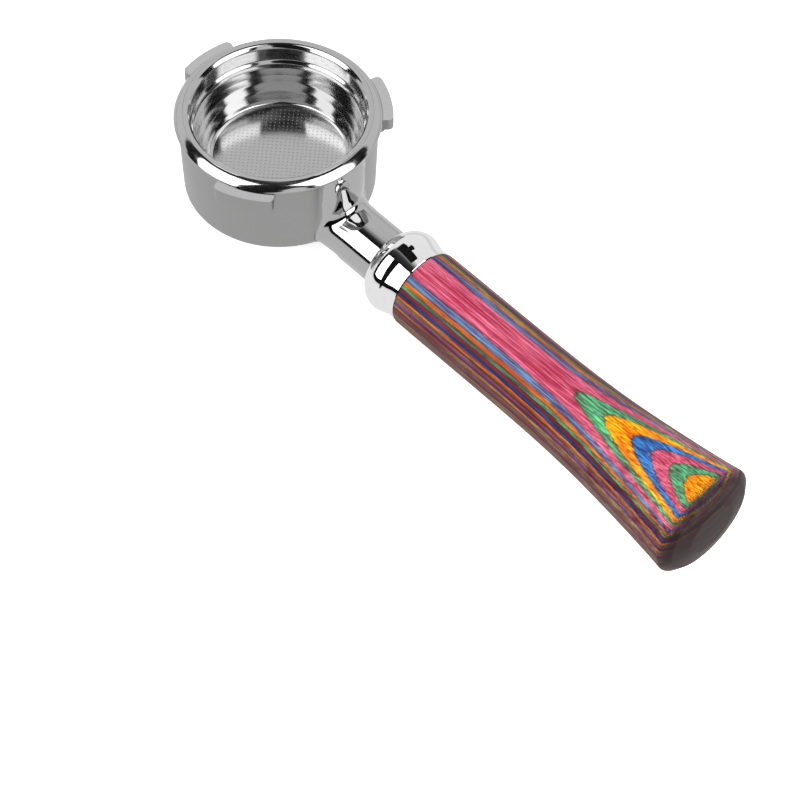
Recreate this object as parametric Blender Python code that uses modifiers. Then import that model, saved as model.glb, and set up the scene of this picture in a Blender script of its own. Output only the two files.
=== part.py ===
"""Bottomless three-lug portafilter, 51 mm class, with a lift-out filter basket and a laminated wooden handle.

Metres, +Z up the axis of the head, +X along the handle.  The origin is the centre of the basket floor's top face.
The round pieces are profiles turned about an axis, so every diameter below is set by a radius and a height.
"""
import math

import bmesh
import bpy
from mathutils import Vector

MM = 0.001
GAP = 0.3 * MM  # air left between two pieces that bear on each other

# Head ring
RIM_TOP = 19.4 * MM
RIM_UNDER = 17.3 * MM
RIM_R = 30.0 * MM
WALL_TOP_R = 28.9 * MM
WALL_FOOT_R = 28.1 * MM
RING_BOTTOM = -8.6 * MM
BORE_R = 26.2 * MM
LEDGE_R = 27.9 * MM
LEDGE_Z = 18.2 * MM
CLIP_Z = 12.0 * MM
CLIP_GROOVE_R = 27.25 * MM
CLIP_GROOVE_HALF = 0.9 * MM

# Filter basket
SHEET = 0.6 * MM
BASKET_WALL_R = 25.2 * MM  # inner wall
BASKET_FLANGE_R = 27.6 * MM
BASKET_BEAD_R = 24.35 * MM
BASKET_SHOULDER_R = 24.2 * MM
BASKET_SHOULDER_Z = 8.1 * MM
BASKET_FLOOR_R = 19.4 * MM

# Wire clip that holds the basket
WIRE_R = 0.5 * MM
CLIP_R = 26.45 * MM
CLIP_OPENING = math.radians(36)
CLIP_STEPS = 40

# Bayonet lugs
LUG_ANGLES = {"lug_left": math.radians(60), "lug_right": math.radians(-60), "lug_back": math.radians(180)}
LUG_R = 33.0 * MM
LUG_PAD_R = 30.6 * MM
LUG_TOP = 17.0 * MM
LUG_STEP = 13.0 * MM
LUG_FOOT = 11.2 * MM
LUG_HALF = math.radians(16)
LUG_PAD_HALF = math.radians(15)

# Handle line, along +X
AXIS_Z = -6.2 * MM
NECK_ROOT_R = 8.6 * MM
NECK_R = 8.8 * MM
NECK_END = 52.0 * MM
ROOT_FLAT_END = 33.6 * MM  # the neck's underside is flush with the ring as far as this
ROOT_RAMP_END = 37.8 * MM
SADDLE_HALF = 8.4 * MM
SADDLE_R = 31.4 * MM
STUD_R = 5.0 * MM
STUD_START = 40.0 * MM
STUD_END = 84.0 * MM
FERRULE_START = 47.6 * MM
FERRULE_END = 61.0 * MM
BEAD_R = 13.1 * MM
WAIST_R = 11.75 * MM
WOOD_START = 61.3 * MM
WOOD_END = 173.3 * MM
GRIP_R = 12.1 * MM
BUTT_R = 17.0 * MM
TENON_R = 9.9 * MM
TENON_START = 55.6 * MM
WOOD_BORE_R = 7.3 * MM
WOOD_BORE_END = 88.0 * MM
INSERT_R = 7.0 * MM

RING_STEPS = 64
ROD_STEPS = 48
PIN_STEPS = 24


def clear_scene():
    for obj in list(bpy.data.objects):
        bpy.data.objects.remove(obj, do_unlink=True)


def new_collection(name, hidden=False):
    group = bpy.data.collections.new(name)
    bpy.context.scene.collection.children.link(group)
    group.hide_render = hidden
    return group


def material(name, color, metallic, roughness):
    made = bpy.data.materials.new(name)
    made.use_nodes = True
    shader = made.node_tree.nodes["Principled BSDF"]
    shader.inputs["Base Color"].default_value = (*color, 1.0)
    shader.inputs["Metallic"].default_value = metallic
    shader.inputs["Roughness"].default_value = roughness
    return made


def rounded(corners, closed=True):
    """Points of a profile whose corners (r, z, fillet) are replaced by arcs of about 30 degrees a step."""
    points = []
    count = len(corners)
    for i, (r, z, fillet) in enumerate(corners):
        here = Vector((r, z))
        if fillet <= 0 or (not closed and i in (0, count - 1)):
            points.append(here)
            continue
        before = (Vector(corners[i - 1][:2]) - here).normalized()
        after = (Vector(corners[(i + 1) % count][:2]) - here).normalized()
        half = before.angle(after) / 2
        reach = fillet / math.tan(half)
        centre = here + (before + after).normalized() * (fillet / math.sin(half))
        start = here + before * reach - centre
        sweep = math.pi - 2 * half
        turn = 1 if before.x * after.y - before.y * after.x < 0 else -1
        steps = max(1, round(math.degrees(sweep) / 30))
        for k in range(steps + 1):
            angle = turn * sweep * k / steps
            cos, sin = math.cos(angle), math.sin(angle)
            points.append(centre + Vector((start.x * cos - start.y * sin, start.x * sin + start.y * cos)))
    return points


def smooth(obj, degrees=35):
    bpy.context.view_layer.objects.active = obj
    for other in bpy.context.selected_objects:
        other.select_set(False)
    obj.select_set(True)
    bpy.ops.object.shade_smooth()
    obj.data.set_sharp_from_angle(angle=math.radians(degrees))


def object_from(name, mesh, group, finish=None):
    obj = bpy.data.objects.new(name, mesh)
    group.objects.link(obj)
    if finish is not None:
        mesh.materials.append(finish)
    return obj


def turned(name, points, group, finish=None, steps=RING_STEPS, closed=True, along_x=False):
    """A solid of revolution.  Its profile runs down the outer side and back up the inner side."""
    edges = [(i, i + 1) for i in range(len(points) - 1)]
    if closed:
        edges.append((len(points) - 1, 0))
    mesh = bpy.data.meshes.new(name)
    mesh.from_pydata([(p[0], 0, p[1]) for p in points], edges, [])
    obj = object_from(name, mesh, group, finish)
    screw = obj.modifiers.new("turn", "SCREW")
    screw.steps = steps
    screw.render_steps = steps
    screw.use_merge_vertices = True
    screw.merge_threshold = 0.00001
    screw.use_normal_calculate = False
    if along_x:
        obj.location = (0, 0, AXIS_Z)
        obj.rotation_euler = (0, math.radians(90), 0)
    return obj


def applied(obj):
    """The object with its modifiers made real and its placing moved into the mesh."""
    graph = bpy.context.evaluated_depsgraph_get()
    mesh = bpy.data.meshes.new_from_object(obj.evaluated_get(graph))
    mesh.transform(obj.matrix_world)
    obj.modifiers.clear()
    obj.data = mesh
    obj.matrix_world.identity()
    obj.location = (0, 0, 0)
    obj.rotation_euler = (0, 0, 0)
    return obj


def boolean(obj, other, operation):
    cut = obj.modifiers.new(operation.lower(), "BOOLEAN")
    cut.operation = operation
    cut.solver = "EXACT"
    cut.object = other


def prism(name, outline, low, high, group, finish=None):
    """A solid with this XY outline between two heights."""
    mesh = bpy.data.meshes.new(name)
    bm = bmesh.new()
    face = bm.faces.new([bm.verts.new((x, y, low)) for x, y in outline])
    lifted = bmesh.ops.extrude_face_region(bm, geom=[face])["geom"]
    tops = [item for item in lifted if isinstance(item, bmesh.types.BMVert)]
    bmesh.ops.translate(bm, vec=(0, 0, high - low), verts=tops)
    bmesh.ops.recalc_face_normals(bm, faces=bm.faces)
    bm.to_mesh(mesh)
    bm.free()
    return object_from(name, mesh, group, finish)


def sector(inner, outer, half, steps):
    angles = [-half + 2 * half * i / steps for i in range(steps + 1)]
    line = [(outer * math.cos(a), outer * math.sin(a)) for a in angles]
    return line + [(inner * math.cos(a), inner * math.sin(a)) for a in reversed(angles)]


def head_ring(group, finish):
    corners = [
        (RIM_R, RIM_TOP, 0.7 * MM),
        (RIM_R, RIM_UNDER, 0.5 * MM),
        (WALL_TOP_R, RIM_UNDER, 0),
        (WALL_FOOT_R, RING_BOTTOM, 0.5 * MM),
        (BORE_R, RING_BOTTOM, 0.2 * MM),
        (BORE_R, CLIP_Z - CLIP_GROOVE_HALF, 0),
        (CLIP_GROOVE_R, CLIP_Z - CLIP_GROOVE_HALF, 0),
        (CLIP_GROOVE_R, CLIP_Z + CLIP_GROOVE_HALF, 0),
        (BORE_R, CLIP_Z + CLIP_GROOVE_HALF, 0),
        (BORE_R, LEDGE_Z, 0),
        (LEDGE_R, LEDGE_Z, 0),
        (LEDGE_R, RIM_TOP, 0),
    ]
    return turned("head_ring", rounded(corners), group, finish)


def basket_profile():
    """The basket's inner face from the floor's middle up to its lip, as (r, z)."""
    return [
        (0, 0),
        (BASKET_FLOOR_R, 0),
        (20.3 * MM, 0.3 * MM),
        (20.9 * MM, 1.0 * MM),
        (22.0 * MM, 3.1 * MM),
        (23.2 * MM, 5.6 * MM),
        (BASKET_SHOULDER_R, BASKET_SHOULDER_Z),
        (BASKET_WALL_R - 0.1 * MM, 10.4 * MM),
        (BASKET_BEAD_R, 11.3 * MM),
        (BASKET_BEAD_R, 12.7 * MM),
        (BASKET_WALL_R, 13.7 * MM),
        (BASKET_WALL_R, 18.3 * MM),
        (25.5 * MM, 18.9 * MM),
        (26.1 * MM, 19.15 * MM),
        (BASKET_FLANGE_R, 19.2 * MM),
    ]


def offset(points, distance):
    """The polyline moved sideways, to the right of its direction of travel."""
    moved = []
    for i, point in enumerate(points):
        here = Vector(point)
        normals = []
        if i > 0:
            step = (here - Vector(points[i - 1])).normalized()
            normals.append(Vector((step.y, -step.x)))
        if i < len(points) - 1:
            step = (Vector(points[i + 1]) - here).normalized()
            normals.append(Vector((step.y, -step.x)))
        mean = sum(normals, Vector((0, 0))).normalized()
        moved.append(here + mean * (distance / mean.dot(normals[0])))
    return moved


def filter_basket(group, finish):
    inner = [Vector(p) for p in basket_profile()]
    outer = offset(inner, SHEET)
    outer[0] = Vector((0, -SHEET))
    return turned("filter_basket", inner + list(reversed(outer)), group, finish, closed=False)


def basket_clip(group, finish):
    """An open ring of round wire, lying in the head's groove with its opening towards the handle."""
    span = math.tau - CLIP_OPENING
    curve = bpy.data.curves.new("basket_clip", "CURVE")
    curve.dimensions = "3D"
    curve.bevel_depth = WIRE_R
    curve.bevel_resolution = 2
    curve.use_fill_caps = True
    spline = curve.splines.new("POLY")
    spline.points.add(CLIP_STEPS)
    for i, point in enumerate(spline.points):
        angle = CLIP_OPENING / 2 + span * i / CLIP_STEPS
        point.co = (CLIP_R * math.cos(angle), CLIP_R * math.sin(angle), CLIP_Z, 1)
    wire = bpy.data.objects.new("clip_path", curve)
    group.objects.link(wire)
    graph = bpy.context.evaluated_depsgraph_get()
    mesh = bpy.data.meshes.new_from_object(wire.evaluated_get(graph))
    bpy.data.objects.remove(wire, do_unlink=True)
    bm = bmesh.new()
    bm.from_mesh(mesh)
    bmesh.ops.remove_doubles(bm, verts=bm.verts, dist=0.000001)
    bmesh.ops.recalc_face_normals(bm, faces=bm.faces)
    bm.to_mesh(mesh)
    bm.free()
    return object_from("basket_clip", mesh, group, finish)


def wall_cutter(group):
    """The head's outside with air round it, to shape what is brazed to the wall."""
    corners = [
        (0, RIM_TOP + MM),
        (RIM_R + GAP, RIM_TOP + MM),
        (RIM_R + GAP, RIM_UNDER - GAP),
        (WALL_TOP_R + GAP, RIM_UNDER - GAP),
        (WALL_FOOT_R + GAP, RING_BOTTOM),
        (WALL_FOOT_R + GAP, RING_BOTTOM - 12 * MM),
        (0, RING_BOTTOM - 12 * MM),
    ]
    return applied(turned("wall_cutter", corners, group, closed=False))


def lug(name, angle, group, helpers, finish, cutter):
    body = prism(name, sector(26 * MM, LUG_R, LUG_HALF, 10), LUG_STEP, LUG_TOP, group, finish)
    pad = prism(name + "_pad", sector(26 * MM, LUG_PAD_R, LUG_PAD_HALF, 10), LUG_FOOT, LUG_STEP + 0.5 * MM, helpers)
    for piece in (body, pad):
        edge = piece.modifiers.new("edges", "BEVEL")
        edge.width = 0.5 * MM
        edge.segments = 2
        edge.limit_method = "ANGLE"
        edge.angle_limit = math.radians(50)
        applied(piece)
    boolean(body, pad, "UNION")
    applied(body)
    body.rotation_euler = (0, 0, angle)
    bpy.context.view_layer.update()
    applied(body)
    boolean(body, cutter, "DIFFERENCE")
    return applied(body)


def saddle(group):
    """The rib that runs up the wall from the neck to the rim: wide at the wall, its nose rounded."""
    rows = [
        (RIM_UNDER - GAP, 0.72, 30.6 * MM),
        (13.5 * MM, 0.80, 31.2 * MM),
        (10.0 * MM, 0.90, SADDLE_R),
        (6.5 * MM, 0.97, 31.3 * MM),
        (3.6 * MM, 1.00, 31.6 * MM),
        (1.4 * MM, 1.00, 33.2 * MM),
        (-4.0 * MM, 0.92, 34.0 * MM),
    ]
    count = 14
    bm = bmesh.new()
    rings = []
    for z, wide, nose in rows:
        half = SADDLE_HALF * wide
        line = [(24 * MM, half), (24 * MM, -half)]
        for i in range(count + 1):
            turn = math.pi * (i / count - 0.5)
            line.append((26.5 * MM + (nose - 26.5 * MM) * math.cos(turn) ** 0.7, half * math.sin(turn)))
        rings.append([bm.verts.new((x, y, z)) for x, y in line])
    size = len(rings[0])
    for upper, lower in zip(rings, rings[1:]):
        for i in range(size):
            j = (i + 1) % size
            bm.faces.new((upper[i], lower[i], lower[j], upper[j]))
    bm.faces.new(rings[0])
    bm.faces.new(list(reversed(rings[-1])))
    bmesh.ops.remove_doubles(bm, verts=bm.verts, dist=0.000001)
    bmesh.ops.recalc_face_normals(bm, faces=bm.faces)
    mesh = bpy.data.meshes.new("saddle")
    bm.to_mesh(mesh)
    bm.free()
    return object_from("saddle", mesh, group)


def neck(group, helpers, finish, cutter):
    """A round bar with a saddle at its root, bored at its free end for the stud."""
    profile = rounded(
        [
            (0, NECK_END, 0),
            (NECK_R, NECK_END, 0.4 * MM),
            (NECK_R, 44 * MM, 0),
            (NECK_ROOT_R, 33 * MM, 0),
            (NECK_ROOT_R + 0.5 * MM, 26 * MM, 0),
            (0, 26 * MM, 0),
        ],
        closed=False,
    )
    bar = applied(turned("neck", profile, group, finish, ROD_STEPS, False, True))
    boolean(bar, saddle(helpers), "UNION")
    applied(bar)
    under = prism(
        "root_flat",
        [
            (20 * MM, RING_BOTTOM),
            (ROOT_FLAT_END, RING_BOTTOM),
            (ROOT_RAMP_END, RING_BOTTOM - 6.6 * MM),
            (ROOT_RAMP_END, RING_BOTTOM - 9 * MM),
            (20 * MM, RING_BOTTOM - 9 * MM),
        ],
        -12 * MM,
        12 * MM,
        helpers,
    )
    under.rotation_euler = (math.radians(90), 0, 0)
    bpy.context.view_layer.update()
    applied(under)
    bore = turned(
        "stud_bore",
        [(0, NECK_END + MM), (STUD_R + GAP, NECK_END + MM), (STUD_R + GAP, STUD_START - GAP), (0, STUD_START - GAP)],
        helpers,
        None,
        PIN_STEPS,
        False,
        True,
    )
    for tool in (cutter, under, applied(bore)):
        boolean(bar, tool, "DIFFERENCE")
    return applied(bar)


def ferrule(group, finish):
    corners = [
        (12.0 * MM, FERRULE_END, 0.2 * MM),
        (WAIST_R, FERRULE_END - 2.8 * MM, 1.5 * MM),
        (WAIST_R + 0.1 * MM, FERRULE_END - 5.0 * MM, 3.0 * MM),
        (BEAD_R, FERRULE_END - 7.4 * MM, 1.6 * MM),
        (BEAD_R, FERRULE_END - 10.4 * MM, 2.0 * MM),
        (NECK_R + 1.0 * MM, FERRULE_START, 0.3 * MM),
        (NECK_R + GAP, FERRULE_START, 0),
        (NECK_R + GAP, NECK_END + 1.5 * MM, 0),
        (STUD_R + GAP, NECK_END + 1.5 * MM, 0),
        (STUD_R + GAP, TENON_START - GAP, 0),
        (TENON_R + GAP, TENON_START - GAP, 0),
        (TENON_R + GAP, FERRULE_END, 0),
    ]
    return turned("ferrule", rounded(corners), group, finish, ROD_STEPS, True, True)


def wood_handle(group, finish):
    corners = [
        (0, WOOD_END, 0),
        (9.0 * MM, WOOD_END - 0.5 * MM, 0),
        (14.0 * MM, WOOD_END - 2.0 * MM, 1.2 * MM),
        (BUTT_R, WOOD_END - 4.8 * MM, 2.0 * MM),
        (16.5 * MM, 164.8 * MM, 0),
        (15.2 * MM, 155.0 * MM, 0),
        (13.9 * MM, 142.6 * MM, 0),
        (12.95 * MM, 131.0 * MM, 0),
        (12.35 * MM, 119.0 * MM, 0),
        (GRIP_R, 106.0 * MM, 0),
        (GRIP_R, 72.0 * MM, 0),
        (12.0 * MM, WOOD_START, 0.3 * MM),
        (TENON_R, WOOD_START, 0),
        (TENON_R, TENON_START, 0.3 * MM),
        (WOOD_BORE_R, TENON_START, 0),
        (WOOD_BORE_R, WOOD_BORE_END, 0),
        (0, WOOD_BORE_END, 0),
    ]
    return turned("wood_handle", rounded(corners, False), group, finish, ROD_STEPS, False, True)


def handle_stud(group, finish):
    """The threaded stud: a core with round-topped thread crests over both engaged lengths."""
    pitch = 2.0 * MM
    points = [(0, STUD_END), (STUD_R - 1.0 * MM, STUD_END)]
    z = STUD_END - 0.8 * MM
    while z > STUD_START + pitch:
        points += [(STUD_R, z), (STUD_R - 0.8 * MM, z - pitch / 2)]
        z -= pitch
    points += [(STUD_R - 1.0 * MM, STUD_START), (0, STUD_START)]
    return turned("handle_stud", points, group, finish, PIN_STEPS, False, True)


def stud_insert(group, finish):
    corners = [
        (INSERT_R, 85.5 * MM, 0.4 * MM),
        (INSERT_R, TENON_START + 0.4 * MM, 0.4 * MM),
        (STUD_R + GAP, TENON_START + 0.4 * MM, 0),
        (STUD_R + GAP, 85.5 * MM, 0),
    ]
    return turned("stud_insert", rounded(corners), group, finish, PIN_STEPS, True, True)


def lock_washer(group, finish):
    corners = [
        (NECK_R - 0.5 * MM, NECK_END + 1.2 * MM, 0),
        (NECK_R - 0.5 * MM, NECK_END + GAP, 0),
        (STUD_R + GAP, NECK_END + GAP, 0),
        (STUD_R + GAP, NECK_END + 1.2 * MM, 0),
    ]
    return turned("lock_washer", rounded(corners), group, finish, PIN_STEPS, True, True)


def main():
    clear_scene()
    parts = new_collection("portafilter")
    helpers = new_collection("cutters", hidden=True)

    satin = material("satin_steel", (0.62, 0.62, 0.61), 1.0, 0.34)
    polished = material("polished_chrome", (0.86, 0.86, 0.87), 1.0, 0.06)
    bright = material("ferrule_chrome", (0.88, 0.88, 0.88), 1.0, 0.04)
    steel = material("basket_steel", (0.72, 0.72, 0.71), 1.0, 0.2)
    spring = material("spring_wire", (0.55, 0.55, 0.56), 1.0, 0.25)
    zinc = material("zinc_steel", (0.6, 0.6, 0.58), 1.0, 0.4)
    brass = material("brass", (0.78, 0.6, 0.28), 1.0, 0.35)
    wood = material("laminated_wood", (0.55, 0.13, 0.2), 0.0, 0.3)

    cutter = wall_cutter(helpers)
    made = [
        head_ring(parts, satin),
        neck(parts, helpers, polished, cutter),
        filter_basket(parts, steel),
        basket_clip(parts, spring),
        ferrule(parts, bright),
        wood_handle(parts, wood),
        handle_stud(parts, zinc),
        stud_insert(parts, brass),
        lock_washer(parts, zinc),
    ]
    for name, angle in LUG_ANGLES.items():
        made.append(lug(name, angle, parts, helpers, satin, cutter))
    for obj in made:
        smooth(obj)
    for obj in helpers.objects:
        obj.hide_render = True
        obj.display_type = "WIRE"


main()
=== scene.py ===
"""Looks of a bottomless portafilter: steel head, perforated basket and laminated wooden handle.

Lengths below are in millimetres in the CAD frame: +Z up the head's axis, +X along the handle, origin at the
centre of the basket floor.  Meshes are built in millimetres and scaled to metres when they become objects.
"""

import math

import bmesh
import bpy
import numpy as np
from mathutils import Matrix, Vector
from mathutils.geometry import delaunay_2d_cdt

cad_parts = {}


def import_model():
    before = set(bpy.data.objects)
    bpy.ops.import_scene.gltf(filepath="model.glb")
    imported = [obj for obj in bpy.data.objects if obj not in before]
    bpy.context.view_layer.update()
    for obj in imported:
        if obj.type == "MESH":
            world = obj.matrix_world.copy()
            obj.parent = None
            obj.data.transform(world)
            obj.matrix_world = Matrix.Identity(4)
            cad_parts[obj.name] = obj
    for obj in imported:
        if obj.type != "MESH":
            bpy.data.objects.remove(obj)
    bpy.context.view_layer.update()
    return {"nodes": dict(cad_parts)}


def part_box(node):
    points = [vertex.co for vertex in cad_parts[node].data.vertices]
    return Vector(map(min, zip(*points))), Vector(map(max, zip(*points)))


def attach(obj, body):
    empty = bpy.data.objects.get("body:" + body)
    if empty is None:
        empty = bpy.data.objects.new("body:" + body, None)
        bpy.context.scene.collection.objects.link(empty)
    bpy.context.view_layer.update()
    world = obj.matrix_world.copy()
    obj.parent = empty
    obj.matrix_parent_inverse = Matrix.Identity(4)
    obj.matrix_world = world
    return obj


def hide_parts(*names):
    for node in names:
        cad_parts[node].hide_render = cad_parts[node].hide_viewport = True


MM = 0.001

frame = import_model()

ring_low, ring_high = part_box("head_ring")
wood_low, wood_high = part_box("wood_handle")

# Heights and radii of the head
RIM_TOP = ring_high.z / MM
RIM_R = ring_high.y / MM
RING_BOTTOM = ring_low.z / MM
RIM_UNDER = RIM_TOP - 2.36
WALL_TOP_R = 28.9
WALL_FOOT_R = 28.1
BORE_R = 26.2

# Inside the head: the seat for the basket's lip, and the groove for the wire clip
SEAT_R = 27.4
SEAT_Z = 18.2
GROOVE_R = 27.25
GROOVE_HALF = 0.9
CLIP_Z = 12.0
WIRE_R = 0.5
WIRE_RING_R = 26.45

# Each lug's two steps: inner and outer radius, half the angle it spans, lowest and highest point, and the
# radius of its corners
LUG_STEPS = (
    (28.0, 33.0, math.radians(16), 13.0, 17.0, 1.7),
    (27.5, 30.6, math.radians(15), 11.2, 13.4, 1.5),
)

# The neck: a round bar, and a rib up the wall whose plan is a rounded box that thins away from its belly
BAR_R = 8.75
NECK_END = 52.0
RIB_X = 24.0
RIB_HALF = 8.4
RIB_REACH = 7.3
RIB_LEAST_REACH = 4.0
RIB_BELLY_Z = 8.5
RIB_FOOT_Z = -6
RIB_SHAPE = 2.5

# The handle: its axis, and the ends of the turned pieces along it
AXIS_Z = (wood_low.z + wood_high.z) / 2 / MM
WOOD_END = wood_high.x / MM
FERRULE_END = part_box("ferrule")[1].x / MM
FERRULE_START = FERRULE_END - 13.4

# Bores and tenon inside the handle
NECK_SOCKET_R = 9.1
NECK_SOCKET_END = 53.5
STUD_BORE_R = 5.3
TENON_SOCKET_R = 10.2
TENON_SOCKET_START = 55.3
TENON_R = 9.9
TENON_START = 55.6
INSERT_BORE_R = 7.3
INSERT_BORE_END = 88

# The basket's pressed sheet
FLOOR_R = 19.4
SHEET = 0.6

# Perforation of the basket floor
HOLE_PITCH = 1.27
HOLE_R = 0.2
HOLE_FIELD_R = 18.2
HOLE_TURN = math.radians(42.85)
HOLE_SIDES = 12
# The flat sheet stops at HOLE_LAND round each hole; the hole's wall runs through (radius, height) to the burr
HOLE_LAND = 0.3
HOLE_WALL = ((HOLE_R, 0.0), (HOLE_R, -0.7), (0.25, -0.76), (0.28, -0.68))


# ---------------------------------------------------------------- meshes


def make_object(name, verts, faces, materials, face_material=None, normals=None, sharp=32):
    """A smooth-shaded object from points in millimetres."""
    mesh = bpy.data.meshes.new(name)
    mesh.from_pydata((np.asarray(verts, float) * MM).tolist(), [], [list(f) for f in faces])
    for item in materials:
        mesh.materials.append(item)
    mesh.polygons.foreach_set("use_smooth", [True] * len(mesh.polygons))
    if face_material is not None:
        mesh.polygons.foreach_set("material_index", np.asarray(face_material, int).tolist())
    if normals is not None:
        mesh.normals_split_custom_set_from_vertices(np.asarray(normals).tolist())
    else:
        mesh.set_sharp_from_angle(angle=math.radians(sharp))
    mesh.update()
    obj = bpy.data.objects.new(name, mesh)
    bpy.context.scene.collection.objects.link(obj)
    return obj


def rounded(corners, step=6.0, support=0.12):
    """Profile points with each corner (r, z, fillet) made an arc, and a point kept by each end of a flat.

    An arc has a point about every step degrees, and the kept points stand off it by support.
    """
    points = []
    for i, (r, z, fillet) in enumerate(corners):
        here = Vector((r, z))
        if fillet <= 0 or i in (0, len(corners) - 1):
            points.append(here)
            continue
        before = Vector(corners[i - 1][:2]) - here
        after = Vector(corners[i + 1][:2]) - here
        half = before.angle(after) / 2
        reach = fillet / math.tan(half)
        ends = [here + before.normalized() * reach, here + after.normalized() * reach]
        bisector = (before.normalized() + after.normalized()).normalized()
        centre = here + bisector * (fillet / math.sin(half))
        start = ends[0] - centre
        sweep = math.pi - 2 * half
        turn = 1 if before.x * after.y - before.y * after.x < 0 else -1
        steps = max(2, round(math.degrees(sweep) / step))
        if before.length - reach > 3 * support:
            points.append(ends[0] + before.normalized() * support)
        for k in range(steps + 1):
            cos, sin = math.cos(turn * sweep * k / steps), math.sin(turn * sweep * k / steps)
            points.append(centre + Vector((start.x * cos - start.y * sin, start.x * sin + start.y * cos)))
        if after.length - reach > 3 * support:
            points.append(ends[1] + after.normalized() * support)
    return [(p.x, p.y) for p in points]


def flowing(knots, per_span=8):
    """A smooth curve through evenly spaced (r, z) knots."""
    pts = np.asarray(knots, float)
    pts = np.vstack([2 * pts[0] - pts[1], pts, 2 * pts[-1] - pts[-2]])
    out = []
    for i in range(1, len(pts) - 2):
        p0, p1, p2, p3 = pts[i - 1 : i + 3]
        for t in np.linspace(0, 1, per_span, endpoint=False):
            bend = 2 * p0 - 5 * p1 + 4 * p2 - p3
            twist = 3 * p1 - p0 - 3 * p2 + p3
            out.append(0.5 * (2 * p1 + (p2 - p0) * t + bend * t**2 + twist * t**3))
    out.append(pts[-2])
    return [tuple(p) for p in out]


def settled(points, passes):
    """The same curve with the unevenness between its knots polished out; its ends stay where they are."""
    points = np.array(points, dtype=float)
    for _ in range(passes):
        points[1:-1] = (points[:-2] + 2 * points[1:-1] + points[2:]) / 4
    return [tuple(point) for point in points]


def circle(sides):
    """Points of a unit circle."""
    turns = np.linspace(0, math.tau, sides, endpoint=False)
    return np.c_[np.cos(turns), np.sin(turns)]


def lathe(name, profile, materials, steps=320, closed=False, along_x=False, zone=None, sharp=32):
    """The profile of (r, z) points turned about the head's axis, or of (r, x) points about the handle's."""
    profile = np.asarray(profile, float)
    count = len(profile)
    around = circle(steps)
    verts, rows = [], []
    for r, h in profile:
        start = len(verts)
        if r < 1e-6:
            ring = [(0.0, 0.0, h)]
        else:
            ring = np.c_[r * around, np.full(steps, h)].tolist()
        verts += ring
        rows.append((start, len(ring)))
    faces, zones = [], []
    for i in range(count if closed else count - 1):
        j = (i + 1) % count
        (a, na), (b, nb) = rows[i], rows[j]
        mid = (profile[i] + profile[j]) / 2
        mark = zone(*mid) if zone else 0
        for k in range(steps):
            n = (k + 1) % steps
            if na == 1:
                face = (a, b + n, b + k)
            elif nb == 1:
                face = (a + k, a + n, b)
            else:
                face = (a + k, a + n, b + n, b + k)
            faces.append(face)
            zones.append(mark)
    verts = np.asarray(verts)
    if along_x:
        verts = np.c_[verts[:, 2], verts[:, 1], AXIS_Z - verts[:, 0]]
    obj = make_object(name, verts, faces, materials, zones, sharp=sharp)
    bm = bmesh.new()
    bm.from_mesh(obj.data)
    bmesh.ops.recalc_face_normals(bm, faces=bm.faces)
    bm.to_mesh(obj.data)
    bm.free()
    return obj


def smooth_min(a, b, k):
    """The lower of two distances, with the crease between them rounded over a width of k."""
    h = np.maximum(k - np.abs(a - b), 0) / k
    return np.minimum(a, b) - h * h * k / 4


def smooth_max(a, b, k):
    """The higher of two distances, rounded in the same way."""
    return -smooth_min(-a, -b, k)


def skin(field, low, high, step):
    """Points, quads and normals of the surface where field(x, y, z) is zero: surface nets, pulled onto it."""
    axes = [np.arange(a, b + step, step) for a, b in zip(low, high)]
    grid = np.stack(np.meshgrid(*axes, indexing="ij"), -1)
    value = field(grid[..., 0], grid[..., 1], grid[..., 2])
    inside = value < 0
    cells = tuple(n - 1 for n in value.shape)
    total = np.zeros(cells + (3,))
    hits = np.zeros(cells)
    crossings = []

    def around(index, axis):
        """The four cells that share each crossed edge, and which of them lie in the grid."""
        others = [n for n in range(3) if n != axis]
        for da, db in ((0, 0), (0, 1), (1, 1), (1, 0)):
            cell = index.copy()
            cell[:, others[0]] -= da
            cell[:, others[1]] -= db
            yield cell, np.all((cell >= 0) & (cell < cells), axis=1)

    for axis in range(3):
        first = [slice(None)] * 3
        second = [slice(None)] * 3
        first[axis], second[axis] = slice(0, -1), slice(1, None)
        a, b = value[tuple(first)], value[tuple(second)]
        cross = (a < 0) != (b < 0)
        index = np.argwhere(cross)
        share = (a / (a - b + 1e-30))[cross]
        point = grid[tuple(first)][cross]
        point[:, axis] += share * step
        crossings.append((axis, index, inside[tuple(first)][cross]))
        for cell, ok in around(index, axis):
            np.add.at(total, tuple(cell[ok].T), point[ok])
            np.add.at(hits, tuple(cell[ok].T), 1)
    used = hits > 0
    number = np.full(cells, -1)
    number[used] = np.arange(used.sum())
    verts = total[used] / hits[used][:, None]

    def slope(p, e=0.01):
        """The field's gradient, by central differences."""
        parts = []
        for axis in range(3):
            d = np.zeros(3)
            d[axis] = e
            parts.append((field(*(p + d).T) - field(*(p - d).T)) / (2 * e))
        return np.stack(parts, -1)

    for _ in range(4):
        g = slope(verts)
        move = field(*verts.T)[:, None] * g / np.maximum((g * g).sum(1), 0.05)[:, None]
        verts = verts - np.clip(move, -step / 2, step / 2)
    normals = slope(verts)
    normals /= np.linalg.norm(normals, axis=1)[:, None]
    faces = []
    for axis, index, start_inside in crossings:
        ids = []
        whole = np.ones(len(index), bool)
        for cell, ok in around(index, axis):
            whole &= ok
            ids.append(number[tuple(np.clip(cell, 0, np.array(cells) - 1).T)])
        quads = np.stack(ids, -1)[whole]
        flip = start_inside[whole] ^ (axis == 1)
        quads[flip] = quads[flip][:, ::-1]
        faces.append(quads)
    return verts, np.vstack(faces), normals


# ---------------------------------------------------------------- materials


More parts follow.
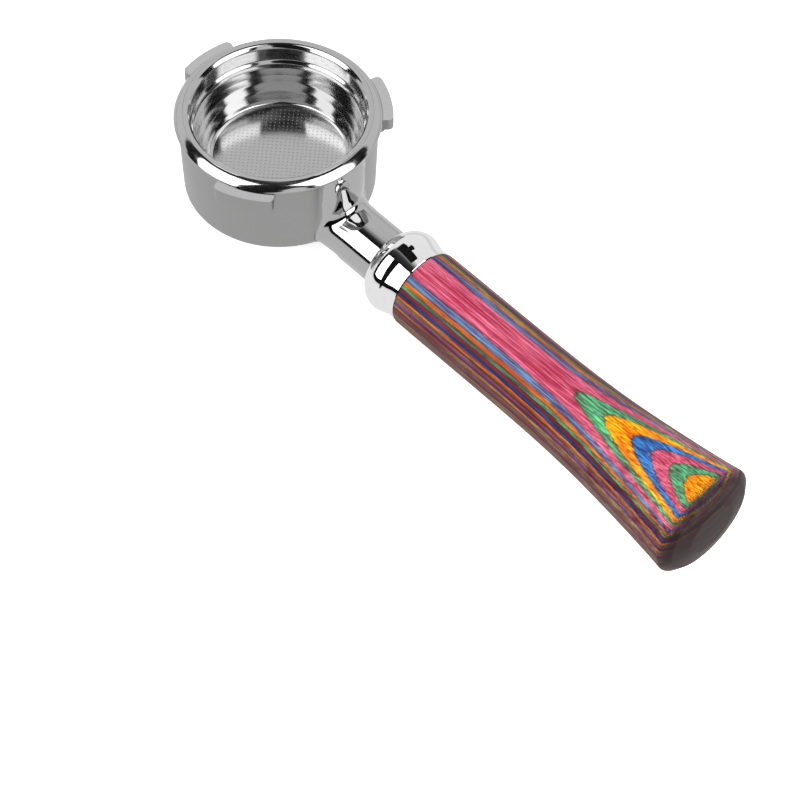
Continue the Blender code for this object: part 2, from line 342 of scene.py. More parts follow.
def fill_ramp(node, stops, mode="LINEAR"):
    """Gives a colour ramp its stops, each a position and a colour."""
    node.color_ramp.interpolation = mode
    elements = node.color_ramp.elements
    while len(elements) < len(stops):
        elements.new(0.5)
    for element, (at, color) in zip(elements, stops):
        element.position = at
        element.color = (*color, 1.0)


class Nodes:
    """Shorthands for a material's node tree."""

    def __init__(self, name):
        self.material = bpy.data.materials.new(name)
        self.material.use_nodes = True
        self.tree = self.material.node_tree
        self.shader = self.tree.nodes["Principled BSDF"]
        self.place = self.add("ShaderNodeTexCoord").outputs["Object"]

    def add(self, kind, **fields):
        node = self.tree.nodes.new(kind)
        for key, value in fields.items():
            setattr(node, key, value)
        return node

    def feed(self, socket, value):
        if isinstance(value, bpy.types.NodeSocket):
            self.tree.links.new(value, socket)
        else:
            socket.default_value = value

    def math(self, operation, a, b):
        node = self.add("ShaderNodeMath", operation=operation)
        for socket, value in zip(node.inputs, (a, b)):
            self.feed(socket, value)
        return node.outputs[0]

    def scaled(self, scale):
        node = self.add("ShaderNodeMapping")
        self.feed(node.inputs["Vector"], self.place)
        node.inputs["Scale"].default_value = scale
        return node.outputs[0]

    def noise(self, vector, scale, detail, rough=0.5):
        node = self.add("ShaderNodeTexNoise")
        self.feed(node.inputs["Vector"], vector)
        node.inputs["Scale"].default_value = scale
        node.inputs["Detail"].default_value = detail
        node.inputs["Roughness"].default_value = rough
        return node.outputs["Fac"]

    def ramp(self, factor, stops, mode="LINEAR"):
        node = self.add("ShaderNodeValToRGB")
        fill_ramp(node, stops, mode)
        self.feed(node.inputs["Fac"], factor)
        return node.outputs["Color"]

    def remap(self, value, low, high, to_low, to_high):
        node = self.add("ShaderNodeMapRange")
        for socket, item in zip(node.inputs[:5], (value, low, high, to_low, to_high)):
            self.feed(socket, item)
        return node.outputs[0]

    def mix(self, factor, a, b, blend="MIX"):
        node = self.add("ShaderNodeMix", data_type="RGBA", blend_type=blend)
        self.feed(node.inputs["Factor"], factor)
        for key, value in (("A", a), ("B", b)):
            socket = [s for s in node.inputs if s.name == key and s.type == "RGBA"][0]
            self.feed(socket, (*value, 1.0) if isinstance(value, tuple) else value)
        return [s for s in node.outputs if s.type == "RGBA"][0]

    def bump(self, height, distance, strength=1.0, under=None):
        node = self.add("ShaderNodeBump")
        node.inputs["Distance"].default_value = distance
        node.inputs["Strength"].default_value = strength
        self.feed(node.inputs["Height"], height)
        if under is not None:
            self.feed(node.inputs["Normal"], under)
        return node.outputs[0]


def linear(r, g, b):
    """Linear colour of an 8-bit display colour."""
    return tuple(((v / 255 + 0.055) / 1.055) ** 2.4 if v > 10 else v / 255 / 12.92 for v in (r, g, b))


def satin_metal(name, tone, rough):
    """Fine blasted and plated steel: even, with a very fine sparkle and faint handling marks."""
    n = Nodes(name)
    fine = n.noise(n.place, 5200, 2)
    cloud = n.noise(n.place, 90, 3)
    color = n.mix(n.remap(cloud, 0.3, 0.7, 0.0, 1.0), tuple(c * 0.965 for c in tone), tone)
    color = n.mix(n.remap(fine, 0.35, 0.65, 0.0, 0.35), color, tuple(c * 0.86 for c in tone))
    n.feed(n.shader.inputs["Base Color"], color)
    handled = n.remap(cloud, 0.3, 0.7, -0.02, 0.02)
    sparkle = n.remap(fine, 0.3, 0.7, rough - 0.03, rough + 0.03)
    n.feed(n.shader.inputs["Roughness"], n.math("ADD", handled, sparkle))
    n.feed(n.shader.inputs["Normal"], n.bump(fine, 0.000004))
    n.shader.inputs["Metallic"].default_value = 1.0
    return n.material


def polished_metal(name, tone, rough, marks_scale=(900, 900, 900)):
    """Buffed steel or chrome: nearly a mirror, with faint wipe marks along its grain and an uneven polish."""
    n = Nodes(name)
    marks = n.noise(n.scaled(marks_scale), 1.0, 4, 0.6)
    cloud = n.noise(n.place, 160, 2)
    color = n.mix(n.remap(marks, 0.42, 0.7, 0.0, 0.25), tone, tuple(c * 0.9 for c in tone))
    n.feed(n.shader.inputs["Base Color"], color)
    wiped = n.remap(marks, 0.4, 0.75, 0.0, 0.035)
    uneven = n.remap(cloud, 0.3, 0.7, rough, rough * 1.35)
    n.feed(n.shader.inputs["Roughness"], n.math("ADD", wiped, uneven))
    n.shader.inputs["Metallic"].default_value = 1.0
    return n.material


def turned_metal(name, tone, rough, waviness=0.0, wave_scale=70):
    """Spun or lathe-turned steel: fine rings round the head's axis, over a broad unevenness from pressing."""
    ring_scale = 9000
    n = Nodes(name)
    radius = n.add("ShaderNodeVectorMath", operation="LENGTH")
    n.feed(radius.inputs[0], n.scaled((1, 1, 0)))
    split = n.add("ShaderNodeSeparateXYZ")
    n.feed(split.inputs[0], n.place)
    along = n.add("ShaderNodeCombineXYZ")
    n.feed(along.inputs[0], n.math("MULTIPLY", radius.outputs["Value"], ring_scale))
    n.feed(along.inputs[1], n.math("MULTIPLY", split.outputs[2], ring_scale))
    n.feed(along.inputs[2], n.noise(n.place, 60, 1))
    rings = n.noise(along.outputs[0], 1.0, 2, 0.6)
    cloud = n.noise(n.place, wave_scale, 1.5)
    color = n.mix(n.remap(rings, 0.35, 0.7, 0.0, 0.3), tone, tuple(c * 0.87 for c in tone))
    n.feed(n.shader.inputs["Base Color"], color)
    n.feed(n.shader.inputs["Roughness"], n.remap(rings, 0.3, 0.7, rough * 0.85, rough * 1.25))
    fine = n.bump(rings, 0.0000012)
    n.feed(n.shader.inputs["Normal"], n.bump(cloud, waviness, 1.0, fine) if waviness else fine)
    n.shader.inputs["Metallic"].default_value = 1.0
    return n.material


def dye(r, g, b):
    """A veneer's own colour, for the display colour it takes on in this bright studio."""
    return tuple(0.72 * c for c in linear(r, g, b))


# Dyes of the outer veneers
GOLD = dye(252, 154, 6)
LEAF = dye(88, 154, 112)
ROSE = dye(208, 88, 118)
AZURE = dye(56, 120, 192)
SLATE = dye(88, 106, 152)
COPPER = dye(198, 98, 16)
FERN = dye(62, 128, 90)
# Duller ones towards the middle
WINE = dye(112, 18, 38)
NAVY = dye(26, 50, 102)
RUST = dye(200, 88, 8)
MOSS = dye(66, 94, 64)
PLUM = dye(148, 46, 72)
INK = dye(44, 58, 102)
BRICK = dye(174, 78, 10)
CLARET = dye(130, 42, 60)
DUSK = dye(58, 50, 74)
UMBER = dye(128, 70, 18)

# Veneers outward from the middle one: height of each one's inner face, and its dye
UPPER_VENEERS = [(0.0, MOSS), (0.34, UMBER), (1.33, DUSK), (2.23, CLARET), (3.11, MOSS)]
LOWER_VENEERS = [(0.0, MOSS), (0.53, CLARET), (1.4, DUSK), (2.2, UMBER), (3.1, MOSS)]
OUTER_VENEERS = [
    (3.94, BRICK),
    (4.69, INK),
    (5.49, PLUM),
    (6.25, MOSS),
    (6.85, RUST),
    (7.58, NAVY),
    (8.45, WINE),
    (9.22, FERN),
    (9.87, COPPER),
    (10.56, SLATE),
    (11.4, ROSE),
    (12.4, LEAF),
    (13.13, GOLD),
    (14.04, AZURE),
    (14.76, ROSE),
    (15.5, LEAF),
    (16.18, GOLD),
]
LAMINATE_TILT = math.radians(98)
VENEER_SPAN = 18.0
GLUE_HALF = 0.03
# Where the stain starts to show at the butt, and where it has soaked in fully
STAIN_START = WOOD_END - 5.2
STAIN_FULL = WOOD_END - 2.6


def laminated_wood(name):
    """Dyed veneers glued flat, the stack turned a little about the handle's axis, under a satin lacquer."""
    n = Nodes(name)
    split = n.add("ShaderNodeSeparateXYZ")
    n.feed(split.inputs[0], n.place)
    across = n.add("ShaderNodeVectorMath", operation="DOT_PRODUCT")
    n.feed(across.inputs[0], n.place)
    across.inputs[1].default_value = (0, math.cos(LAMINATE_TILT) / MM, math.sin(LAMINATE_TILT) / MM)
    height = n.math("SUBTRACT", across.outputs["Value"], AXIS_Z * math.sin(LAMINATE_TILT))
    ragged = n.noise(n.scaled((260, 3200, 3200)), 1.0, 3, 0.6)
    swell = n.noise(n.scaled((45, 160, 160)), 1.0, 1, 0.5)
    height = n.math("ADD", height, n.remap(ragged, 0.2, 0.8, -0.11, 0.11))
    height = n.math("ADD", height, n.remap(swell, 0.2, 0.8, -0.07, 0.07))

    def veneer(shift):
        """The dye at this height, or a little off it."""
        shifted = n.math("DIVIDE", n.math("ADD", height, shift), VENEER_SPAN)
        sides = []
        for inner, depth in ((LOWER_VENEERS, n.math("MULTIPLY", shifted, -1.0)), (UPPER_VENEERS, shifted)):
            stops = [(at / VENEER_SPAN, color) for at, color in inner + OUTER_VENEERS]
            sides.append(n.ramp(depth, stops, "CONSTANT"))
        return n.mix(n.math("GREATER_THAN", shifted, 0.0), *sides)

    dyed = veneer(0.0)
    change = n.add("ShaderNodeVectorMath", operation="DISTANCE")
    n.feed(change.inputs[0], veneer(GLUE_HALF))
    n.feed(change.inputs[1], veneer(-GLUE_HALF))
    glue = n.math("GREATER_THAN", change.outputs["Value"], 0.02)
    # Dye takes unevenly along the grain: broad light and dark lengths, fine pale streaks, dark pores
    length = n.noise(n.scaled((70, 420, 420)), 1.0, 3, 0.6)
    streak = n.noise(n.scaled((42, 2700, 2700)), 1.0, 4, 0.65)
    uneven = n.ramp(length, [(0.34, (0.82, 0.5, 0.6)), (0.5, (0.96, 0.92, 0.94)), (0.68, (1.22, 1.45, 1.28))])
    color = n.mix(1.0, dyed, uneven, "MULTIPLY")
    grain = n.ramp(streak, [(0.4, (0.66, 0.26, 0.36)), (0.5, (0.95, 0.9, 0.92)), (0.6, (1.3, 2.0, 1.7))])
    color = n.mix(1.0, color, grain, "MULTIPLY")
    pores = n.noise(n.scaled((300, 5200, 5200)), 1.0, 2, 0.5)
    color = n.mix(n.remap(pores, 0.58, 0.66, 0.0, 0.75), color, (0.03, 0.014, 0.014))
    color = n.mix(n.math("MULTIPLY", glue, 0.75), color, (0.02, 0.012, 0.012))
    # End grain at the butt soaks up the stain
    soaked = n.remap(split.outputs[0], STAIN_START * MM, STAIN_FULL * MM, 0.0, 0.88)
    color = n.mix(soaked, color, linear(24, 14, 14))
    n.feed(n.shader.inputs["Base Color"], color)
    n.feed(n.shader.inputs["Roughness"], n.remap(streak, 0.3, 0.7, 0.34, 0.46))
    n.feed(n.shader.inputs["Normal"], n.bump(streak, 0.000012, 0.6))
    n.shader.inputs["Specular IOR Level"].default_value = 0.12
    return n.material


SATIN = satin_metal("satin_steel_look", (0.40, 0.40, 0.397), 0.34)
RIM_POLISH = polished_metal("rim_polish", (0.56, 0.56, 0.56), 0.08)
BORE = turned_metal("bore_steel", (0.50, 0.50, 0.50), 0.17)
NECK_CHROME = polished_metal("neck_chrome", (0.52, 0.52, 0.522), 0.04, (80, 1400, 1400))
# The ferrule's chrome takes a far brighter tone than the neck's chrome: painted brightness for the whiter
# surroundings it reflects.
FERRULE_CHROME_PAINTED_BRIGHT = polished_metal("ferrule_mirror_painted_bright", (0.96, 0.96, 0.96), 0.02, (700, 700, 700))
LUG_POLISH = polished_metal("lug_polish", (0.60, 0.60, 0.60), 0.06)
BASKET = turned_metal("basket_look", (0.55, 0.55, 0.55), 0.09, 0.00012, 50)
BASKET_FLOOR = turned_metal("basket_floor_look", (0.54, 0.54, 0.54), 0.14, 0.00002, 70)
WIRE = polished_metal("wire_look", (0.50, 0.50, 0.51), 0.16, (300, 300, 4000))
ZINC = satin_metal("zinc_look", (0.48, 0.48, 0.46), 0.38)
BRASS = satin_metal("brass_look", (0.70, 0.50, 0.22), 0.26)
WOOD = laminated_wood("laminate_look")


# ---------------------------------------------------------------- head


def head_ring():
    """The ring: rolled rim, tapered wall, and a bore with a groove for the wire and a seat for the basket."""
    crown = [
        (SEAT_R, RIM_TOP - 0.1),
        (SEAT_R + 0.5, RIM_TOP - 0.28),
        (28.6, RIM_TOP - 0.66),
        (29.2, RIM_TOP - 1.14),
        (29.6, RIM_TOP - 1.6),
        (29.86, RIM_TOP - 1.95),
        (RIM_R, RIM_TOP - 2.25),
    ]
    corners = [
        (RIM_R - 0.08, RIM_UNDER, 0),
        (WALL_TOP_R, RIM_UNDER, 0.25),
        (WALL_FOOT_R, RING_BOTTOM, 0.7),
        (BORE_R, RING_BOTTOM, 0.25),
        (BORE_R, CLIP_Z - GROOVE_HALF, 0),
        (GROOVE_R, CLIP_Z - GROOVE_HALF, 0),
        (GROOVE_R, CLIP_Z + GROOVE_HALF, 0),
        (BORE_R, CLIP_Z + GROOVE_HALF, 0),
        (BORE_R, SEAT_Z, 0),
        (SEAT_R, SEAT_Z, 0),
    ]

    def zone(r, z):
        """Which finish a stretch of the section has: 0 satin, 1 polished, 2 turned."""
        if r < BORE_R + 0.22 or (r < SEAT_R + 0.01 and z > RING_BOTTOM + 0.3):
            return 2
        if z > RIM_UNDER - 0.2:
            return 1
        return 1 if z < RING_BOTTOM + 0.55 and r > WALL_FOOT_R - 0.75 else 0

    profile = flowing(crown, 6) + rounded(corners)
    return lathe("head_ring_v", profile, [SATIN, RIM_POLISH, BORE], closed=True, zone=zone)


def lug_plan(inner, outer, half, corner):
    """One step of a lug seen from above, as (angle, radius) points, with its two outer corners rounded."""
    run = half - corner / outer
    turns = np.linspace(0, math.pi / 2, 9)
    right = [(run + corner * math.cos(a) / outer, outer - corner + corner * math.sin(a)) for a in turns]
    front = [(t, outer) for t in np.linspace(run, -run, 22)[1:-1]]
    left = [(-t, r) for t, r in reversed(right)]
    back = [(t, inner) for t in np.linspace(-half, half, 22)]
    return right + front + left + back


def lug(name, angle):
    """A bayonet lug: an upper block that takes the load, over a lower pad, both polished on top."""
    verts, faces, zones = [], [], []
    for inner, outer, half, low, high, corner in LUG_STEPS:
        plan = lug_plan(inner, outer, half, corner)
        size = len(plan)
        bottom = range(len(verts), len(verts) + size)
        top = range(bottom.stop, bottom.stop + size)
        for z in (low, high):
            verts += [(r * math.cos(angle + t), r * math.sin(angle + t), z) for t, r in plan]
        faces += [bottom[::-1], top]
        zones += [0, 1]
        for i in range(size):
            j = (i + 1) % size
            faces.append((bottom[i], bottom[j], top[j], top[i]))
            zones.append(0)
    return make_object(name + "_v", verts, faces, [SATIN, LUG_POLISH], zones, sharp=30)


def wall_r(z):
    """Radius of the head's tapered wall at a height."""
    return WALL_FOOT_R + (WALL_TOP_R - WALL_FOOT_R) * (z - RING_BOTTOM) / (RIM_UNDER - RING_BOTTOM)


def neck():
    """The polished bar, the rib that climbs the wall from its root, and the fillets into the wall."""

    def bare(x, y, z):
        """Distance to bar and rib blended together, without the wall."""
        radius = BAR_R + 0.25 * np.clip((36 - x) / 8, 0, 1) ** 2
        bar = np.hypot(y, z - AXIS_Z) - radius
        reach = np.maximum(RIB_REACH - 0.018 * (z - RIB_BELLY_Z) ** 2, RIB_LEAST_REACH)
        away = (np.abs(x - RIB_X) / reach) ** RIB_SHAPE + (np.abs(y) / RIB_HALF) ** RIB_SHAPE
        rib = (away ** (1 / RIB_SHAPE) - 1) * np.minimum(reach, RIB_HALF)
        rib = np.maximum(rib, RIB_FOOT_Z - z)
        return smooth_min(bar, rib, 2.8)

    def field(x, y, z):
        """Distance to the whole neck, cut off level with the ring's foot and by a slope out to the bar."""
        wall = np.hypot(x, y) - wall_r(z)
        whole = smooth_min(bare(x, y, z), wall, 1.2)
        flat = RING_BOTTOM - z
        ramp = (RING_BOTTOM - z) * 0.54 - (x - 33.6) * 0.84
        whole = smooth_max(whole, smooth_min(flat, ramp, 0.3), 0.5)
        return np.maximum(whole, x - NECK_END)

    verts, faces, normals = skin(field, (25.5, -13, -17), (52.6, 13, 17.2), 0.3)
    mid = verts[faces].mean(axis=1)
    # The skin stops a little way out on the wall, and its margin there is satin like the wall
    keep = (bare(*mid.T) < 1.15) & (mid[:, 0] > 26.5)
    zones = bare(*mid[keep].T) > 0.35
    used, faces = np.unique(faces[keep], return_inverse=True)
    return make_object(
        "neck_v", verts[used], faces.reshape(-1, 4), [NECK_CHROME, SATIN], zones, normals=normals[used]
    )


def ferrule():
    """A turned collar with a bead, bored for the neck at its front and for the wood's tenon at its back."""
    outer = flowing(
        [
            (11.95, FERRULE_END - 0.15),
            (11.86, FERRULE_END - 1.6),
            (11.84, FERRULE_END - 3.2),
            (12.08, FERRULE_END - 4.6),
            (12.66, FERRULE_END - 6.0),
            (13.08, FERRULE_END - 7.3),
            (13.12, FERRULE_END - 8.7),
            (12.78, FERRULE_END - 10.2),
            (12.0, FERRULE_END - 11.7),
            (11.0, FERRULE_END - 12.8),
            (10.25, FERRULE_END - 13.3),
        ],
        6,
    )
    outer = settled(outer, 40)
    front = [(9.95, FERRULE_START), (9.3, FERRULE_START), (NECK_SOCKET_R, FERRULE_START + 0.2)]
    inside = [
        (NECK_SOCKET_R, NECK_SOCKET_END),
        (STUD_BORE_R, NECK_SOCKET_END),
        (STUD_BORE_R, TENON_SOCKET_START),
        (TENON_SOCKET_R, TENON_SOCKET_START),
        (TENON_SOCKET_R, FERRULE_END),
        (11.85, FERRULE_END),
    ]
    return lathe("ferrule_v", outer + front + inside, [FERRULE_CHROME_PAINTED_BRIGHT], 256, closed=True, along_x=True)


def wood_handle():
    """The turned grip: nearly straight, then flared to a domed butt, with a tenon and a bore at its front."""
    outer = flowing(
        [
            (12.1, 62.2),
            (12.12, 70.0),
            (12.1, 82.0),
            (12.1, 94.0),
            (12.14, 106.0),
            (12.38, 119.0),
            (12.95, 131.0),
            (13.9, 142.6),
            (15.2, 155.0),
            (16.4, 164.6),
            (16.85, 167.6),
        ],
        10,
    )
    butt = rounded(
        [
            (16.85, 167.6, 0),
            (17.1, 169.4, 1.0),
            (14.2, WOOD_END - 1.75, 2.2),
            (8.0, WOOD_END - 0.35, 3.0),
            (0, WOOD_END, 0),
        ],
        step=4,
    )
    front = rounded(
        [
            (0, INSERT_BORE_END, 0),
            (INSERT_BORE_R, INSERT_BORE_END, 0),
            (INSERT_BORE_R, TENON_START, 0),
            (TENON_R, TENON_START, 0),
            (TENON_R, 61.3, 0),
            (12.08, 61.3, 0.25),
            (12.1, 62.2, 0),
        ]
    )
    profile = butt[::-1] + outer[-2:0:-1] + front[::-1]
    return lathe("wood_handle_v", profile, [WOOD], 256, along_x=True, sharp=38)


# ---------------------------------------------------------------- basket


def basket_walls():
    """The basket's section: its inner face up from the floor, over the lip, and its outer face down."""
    inner = rounded(
        [
            (FLOOR_R, 0.0, 0),
            (20.35, 0.12, 0.8),
            (21.0, 1.1, 1.2),
            (22.3, 3.4, 8.0),
            (23.45, 5.9, 8.0),
            (24.25, 8.1, 0.22),
            (25.05, 10.5, 0.5),
            (24.4, 11.35, 0.7),
            (24.4, 12.65, 0.7),
            (25.2, 13.6, 0.8),
            (25.2, 18.2, 0.9),
            (26.1, 19.3, 0.9),
            (SEAT_R - 0.08, 19.36, 0),
        ],
        step=5,
    )
    lip = [(SEAT_R - 0.04, 19.3), (SEAT_R - 0.04, 18.72), (SEAT_R - 0.1, 18.66)]
    pressed = inner[:-1]
    shell = []
    for i, (r, z) in enumerate(pressed):
        before = Vector(pressed[max(i - 1, 0)])
        after = Vector(pressed[min(i + 1, len(pressed) - 1)])
        way = (after - before).normalized()
        shell.append((r + way.y * SHEET, z - way.x * SHEET))
    shell[0] = (FLOOR_R, -SHEET)
    shell = [p for p in shell if p[0] < SEAT_R - 0.3]
    return inner + lip + shell[::-1]


def filter_basket():
    """The basket's wall; its floor is a piece of its own."""
    return lathe("filter_basket_v", basket_walls(), [BASKET])


def turned(points, angle):
    """The (x, y) points turned about the head's axis."""
    x, y = points.T
    cos, sin = math.cos(angle), math.sin(angle)
    return np.c_[x * cos - y * sin, x * sin + y * cos]


def hole_centres():
    """A square grid of holes, cut to a round field and turned a little from the handle's direction."""
    reach = int(HOLE_FIELD_R / HOLE_PITCH) + 1
    steps = np.arange(-reach, reach + 1) * HOLE_PITCH
    a, b = np.meshgrid(steps, steps)
    keep = np.hypot(a, b) < HOLE_FIELD_R
    return turned(np.c_[a[keep], b[keep]], HOLE_TURN)


def opened_sheet(centres):
    """Points and triangles of the flat floor with an opening at each centre, and each opening's outline."""
    outlines = [FLOOR_R * circle(320)] + [centre + HOLE_LAND * circle(HOLE_SIDES) for centre in centres]
    points = [Vector(p) for line in outlines for p in line]
    loops, start = [], 0
    for line in outlines:
        loops.append(list(range(start, start + len(line))))
        start += len(line)
    edges = [pair for loop in loops for pair in zip(loop, loop[1:] + loop[:1])]
    flat, _, triangles, origins, _, _ = delaunay_2d_cdt(points, edges, [], 0, 1e-6)
    flat = np.array([tuple(p) for p in flat])
    triangles = np.array(triangles)
    mid = flat[triangles].mean(axis=1)
    local = turned(mid, -HOLE_TURN)
    nearest = np.round(local / HOLE_PITCH) * HOLE_PITCH
    in_hole = (np.hypot(*(local - nearest).T) < HOLE_LAND - 0.005) & (np.hypot(*nearest.T) < HOLE_FIELD_R)
    keep = (np.hypot(*mid.T) < FLOOR_R) & ~in_hole
    placed = {source: i for i, sources in enumerate(origins) for source in sources}
    return flat, triangles[keep], [[placed[i] for i in loop] for loop in loops[1:]]


def basket_floor():
    """The floor sheet with every hole punched through it: clean above, with a raised burr below."""
    centres = hole_centres()
    flat, triangles, openings = opened_sheet(centres)
    count = len(flat)
    verts = [np.c_[flat, np.zeros(count)], np.c_[flat, np.full(count, -SHEET)]]
    faces = triangles.tolist() + (triangles[:, ::-1] + count).tolist()
    base = 2 * count
    ring = circle(HOLE_SIDES)
    for centre, opening in zip(centres, openings):
        rows = [opening]
        for radius, z in HOLE_WALL:
            verts.append(np.c_[centre + ring * radius, np.full(HOLE_SIDES, z)])
            rows.append(list(range(base, base + HOLE_SIDES)))
            base += HOLE_SIDES
        rows.append([count + v for v in opening])
        for upper, lower in zip(rows, rows[1:]):
            for i in range(HOLE_SIDES):
                j = (i + 1) % HOLE_SIDES
                faces.append((upper[i], upper[j], lower[j], lower[i]))
    return make_object("basket_floor_v", np.vstack(verts), faces, [BASKET_FLOOR], sharp=8)


def basket_clip():
    """An open ring of round wire in the head's groove."""
    sides, steps = 14, 220
    opening = math.radians(36)
    verts, faces = [], []
    for i in range(steps + 1):
        t = opening / 2 + (math.tau - opening) * i / steps
        for k in range(sides):
            a = math.tau * k / sides
            r = WIRE_RING_R + WIRE_R * math.cos(a)
            verts.append((r * math.cos(t), r * math.sin(t), CLIP_Z + WIRE_R * math.sin(a)))
    for i in range(steps):
        for k in range(sides):
            n = (k + 1) % sides
            faces.append((i * sides + k, (i + 1) * sides + k, (i + 1) * sides + n, i * sides + n))
    faces.append(tuple(range(sides)))
    faces.append(tuple(reversed(range(steps * sides, (steps + 1) * sides))))
    return make_object("basket_clip_v", verts, faces, [WIRE], sharp=50)


def stand_for(obj, body, slot, *nodes):
    """Puts a piece on a body in place of the CAD nodes it replaces; its slot is not used."""
    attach(obj, body)
    if nodes:
        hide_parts(*nodes)


stand_for(head_ring(), "holder", "satin_steel", "head_ring")
for lug_name, lug_angle in (("lug_left", 60), ("lug_right", -60), ("lug_back", 180)):
    stand_for(lug(lug_name, math.radians(lug_angle)), "holder", "satin_steel", lug_name)
stand_for(neck(), "holder", "polished_chrome", "neck")
stand_for(ferrule(), "holder", "ferrule_chrome", "ferrule")
stand_for(wood_handle(), "holder", "laminated_wood", "wood_handle")
stand_for(filter_basket(), "basket", "basket_steel", "filter_basket")
stand_for(basket_floor(), "basket", "basket_steel")
stand_for(basket_clip(), "clip", "spring_wire", "basket_clip")
for hidden, finish in (("handle_stud", ZINC), ("lock_washer", ZINC), ("stud_insert", BRASS)):
    frame["nodes"][hidden].material_slots[0].material = finish


# ---------------------------------------------------------------- studio


def rectangle(obj, out, side, span, distance):
    """Stands a rectangle square to the direction out, and gives its width and height.

    The span is left, right, low and high from that direction, in units of the distance.
    """
    out = Vector(out).normalized()
    across = (Vector(side) - out * out.dot(Vector(side))).normalized()
    up = out.cross(across)
    left, right, low, high = span
    centre = (out + across * (left + right) / 2 + up * (low + high) / 2) * distance
    obj.matrix_world = Matrix.Translation(centre) @ Matrix((across, up, out)).transposed().to_4x4()
    bpy.context.scene.collection.objects.link(obj)
    obj.visible_camera = False
    return (right - left) * distance, (high - low) * distance


def light_box(name, out, side, span, distance, level):
    """A soft box of even brightness; the level is its radiance."""
    data = bpy.data.lights.new(name, "AREA")
    data.shape = "RECTANGLE"
    width, height = rectangle(bpy.data.objects.new(name, data), out, side, span, distance)
    data.size, data.size_y = width, height
    data.energy = level * math.pi * width * height


def flag(name, out, side, span, distance, fade=((0.0, 0.0), (1.0, 0.0))):
    """A dark board that only reflections see; fade gives its brightness from the near edge to the far one."""
    mesh = bpy.data.meshes.new(name)
    obj = bpy.data.objects.new(name, mesh)
    width, height = rectangle(obj, out, side, span, distance)
    w, h = width / 2, height / 2
    mesh.from_pydata([(-w, -h, 0), (w, -h, 0), (w, h, 0), (-w, h, 0)], [], [(0, 1, 2, 3)])
    n = Nodes(name)
    split = n.add("ShaderNodeSeparateXYZ")
    n.feed(split.inputs[0], n.place)
    across = n.remap(split.outputs[1], -h, h, 0.0, 1.0)
    n.feed(n.shader.inputs["Emission Color"], n.ramp(across, [(at, (level,) * 3) for at, level in fade]))
    n.shader.inputs["Emission Strength"].default_value = 1.0
    n.shader.inputs["Base Color"].default_value = (0.004, 0.004, 0.004, 1)
    n.shader.inputs["Specular IOR Level"].default_value = 0.0
    mesh.materials.append(n.material)
    obj.visible_shadow = False
    obj.visible_diffuse = False


def studio():
    """Two soft boxes beside the viewpoint, with dark boards round them for polished edges to pick up."""
    key, along = (0, -0.774, 0.633), (1, 0, 0)
    light_box("key_box", key, along, (-0.7, 0.14, -0.577, 0.577), 1.2, 3.2)
    flag("key_foot", key, along, (-1.3, 0.2, -0.9, 0.56), 1.24)
    fade = ((0.0, 0.0), (0.27, 0.03), (0.38, 0.12), (0.56, 0.39), (0.8, 0.59), (1.0, 0.72))
    flag("key_head", key, along, (-1.3, 1.0, 0.56, 2.3), 1.25, fade)
    flag("stand", key, along, (0.14, 0.95, -1.5, 0.8), 1.26)
    fill, across = (0.74, 0.198, 0.643), (-0.259, 0.966, 0)
    light_box("side_box", fill, across, (-0.35, 0.38, -0.55, 0.62), 1.2, 2.8)
    flag("side_frame", fill, across, (-0.5, 0.8, -0.7, 0.75), 1.24)
    flag("ceiling", (-0.05, 0.33, 0.94), (1, 0, 0), (-0.42, 0.55, -0.3, 0.12), 1.3)


def floor():
    """A pale sheet that touches the ring's far edge and the ferrule's bead, like a bench under the piece."""
    bead_x = 0.052
    bead_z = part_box("ferrule")[0].z
    gap = 0.0006
    slope = (bead_z - ring_low.z) / (bead_x - ring_low.x)
    material = bpy.data.materials.new("pale_floor")
    material.use_nodes = True
    tree = material.node_tree
    shader = tree.nodes["Principled BSDF"]
    shader.inputs["Base Color"].default_value = (0.93, 0.93, 0.93, 1)
    shader.inputs["Roughness"].default_value = 0.9
    shader.inputs["Emission Color"].default_value = (1, 1, 1, 1)
    shader.inputs["Emission Strength"].default_value = 0.6
    clear = tree.nodes.new("ShaderNodeBsdfTransparent")
    side = tree.nodes.new("ShaderNodeNewGeometry")
    mix = tree.nodes.new("ShaderNodeMixShader")
    tree.links.new(side.outputs["Backfacing"], mix.inputs[0])
    tree.links.new(shader.outputs[0], mix.inputs[1])
    tree.links.new(clear.outputs[0], mix.inputs[2])
    tree.links.new(mix.outputs[0], tree.nodes["Material Output"].inputs["Surface"])
    mesh = bpy.data.meshes.new("floor")
    size = 6.0
    corners = [(-size, -size), (size, -size), (size, size), (-size, size)]
    drop = ring_low.z - gap - slope * ring_low.x
    mesh.from_pydata([(x, y, drop + slope * x) for x, y in corners], [], [(0, 1, 2, 3)])
    mesh.materials.append(material)
    obj = bpy.data.objects.new("floor", mesh)
    bpy.context.scene.collection.objects.link(obj)
    obj.visible_glossy = False


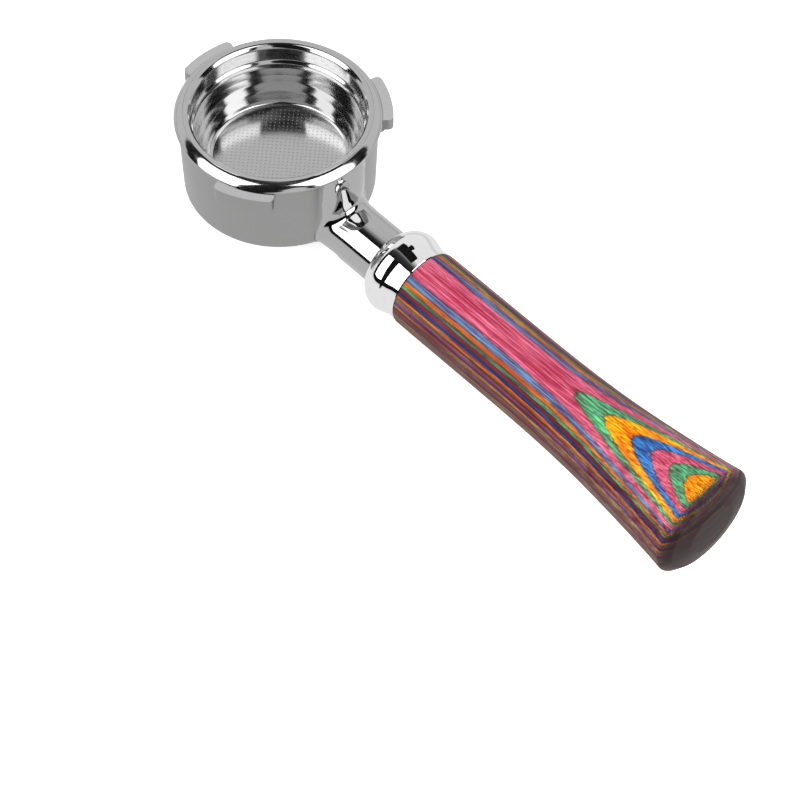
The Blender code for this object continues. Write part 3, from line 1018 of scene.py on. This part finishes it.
def world():
    """Grey air for reflections, a little darker at the horizon, and plain white straight to the camera."""
    made = bpy.data.worlds.new("studio_air")
    bpy.context.scene.world = made
    made.use_nodes = True
    tree = made.node_tree
    tree.nodes.clear()
    out = tree.nodes.new("ShaderNodeOutputWorld")
    direction = tree.nodes.new("ShaderNodeTexCoord")
    split = tree.nodes.new("ShaderNodeSeparateXYZ")
    ramp = tree.nodes.new("ShaderNodeValToRGB")
    air, horizon = (0.8,) * 3, (0.62,) * 3
    fill_ramp(ramp, [(0.0, air), (0.42, air), (0.5, horizon), (0.58, air), (1.0, air)])
    half = tree.nodes.new("ShaderNodeMath")
    half.operation = "MULTIPLY_ADD"
    half.inputs[1].default_value = 0.5
    half.inputs[2].default_value = 0.5
    tree.links.new(direction.outputs["Generated"], split.inputs[0])
    tree.links.new(split.outputs[2], half.inputs[0])
    tree.links.new(half.outputs[0], ramp.inputs[0])
    grey = tree.nodes.new("ShaderNodeBackground")
    tree.links.new(ramp.outputs[0], grey.inputs["Color"])
    white = tree.nodes.new("ShaderNodeBackground")
    white.inputs["Color"].default_value = (1, 1, 1, 1)
    seen = tree.nodes.new("ShaderNodeLightPath")
    mix = tree.nodes.new("ShaderNodeMixShader")
    tree.links.new(seen.outputs["Is Camera Ray"], mix.inputs[0])
    tree.links.new(grey.outputs[0], mix.inputs[1])
    tree.links.new(white.outputs[0], mix.inputs[2])
    tree.links.new(mix.outputs[0], out.inputs[0])


def camera():
    """Looks down on the head from the side of its right lug, the handle running away to the lower right."""
    az, el, roll = math.radians(45.752), math.radians(52.978), math.radians(1.42)
    back = Vector((math.sin(az) * math.cos(el), -math.cos(az) * math.cos(el), math.sin(el)))
    right = Vector((math.cos(az), math.sin(az), 0))
    up = back.cross(right)
    side = right * math.cos(roll) + up * math.sin(roll)
    top = up * math.cos(roll) - right * math.sin(roll)
    to_side, down, distance = 0.034464, 0.082802, 0.8
    eye = side * to_side - top * down + back * distance + Vector((0, 0, RIM_TOP * MM))
    data = bpy.data.cameras.new("camera")
    data.sensor_width = 36
    data.sensor_fit = "HORIZONTAL"
    data.lens = 126.46
    obj = bpy.data.objects.new("camera", data)
    bpy.context.scene.collection.objects.link(obj)
    turn = Matrix((side, top, back)).transposed().to_4x4()
    obj.matrix_world = Matrix.Translation(eye) @ turn
    bpy.context.scene.camera = obj


studio()
floor()
world()
camera()
bpy.context.scene.view_settings.view_transform = "Standard"
bpy.context.scene.cycles.use_denoising = True
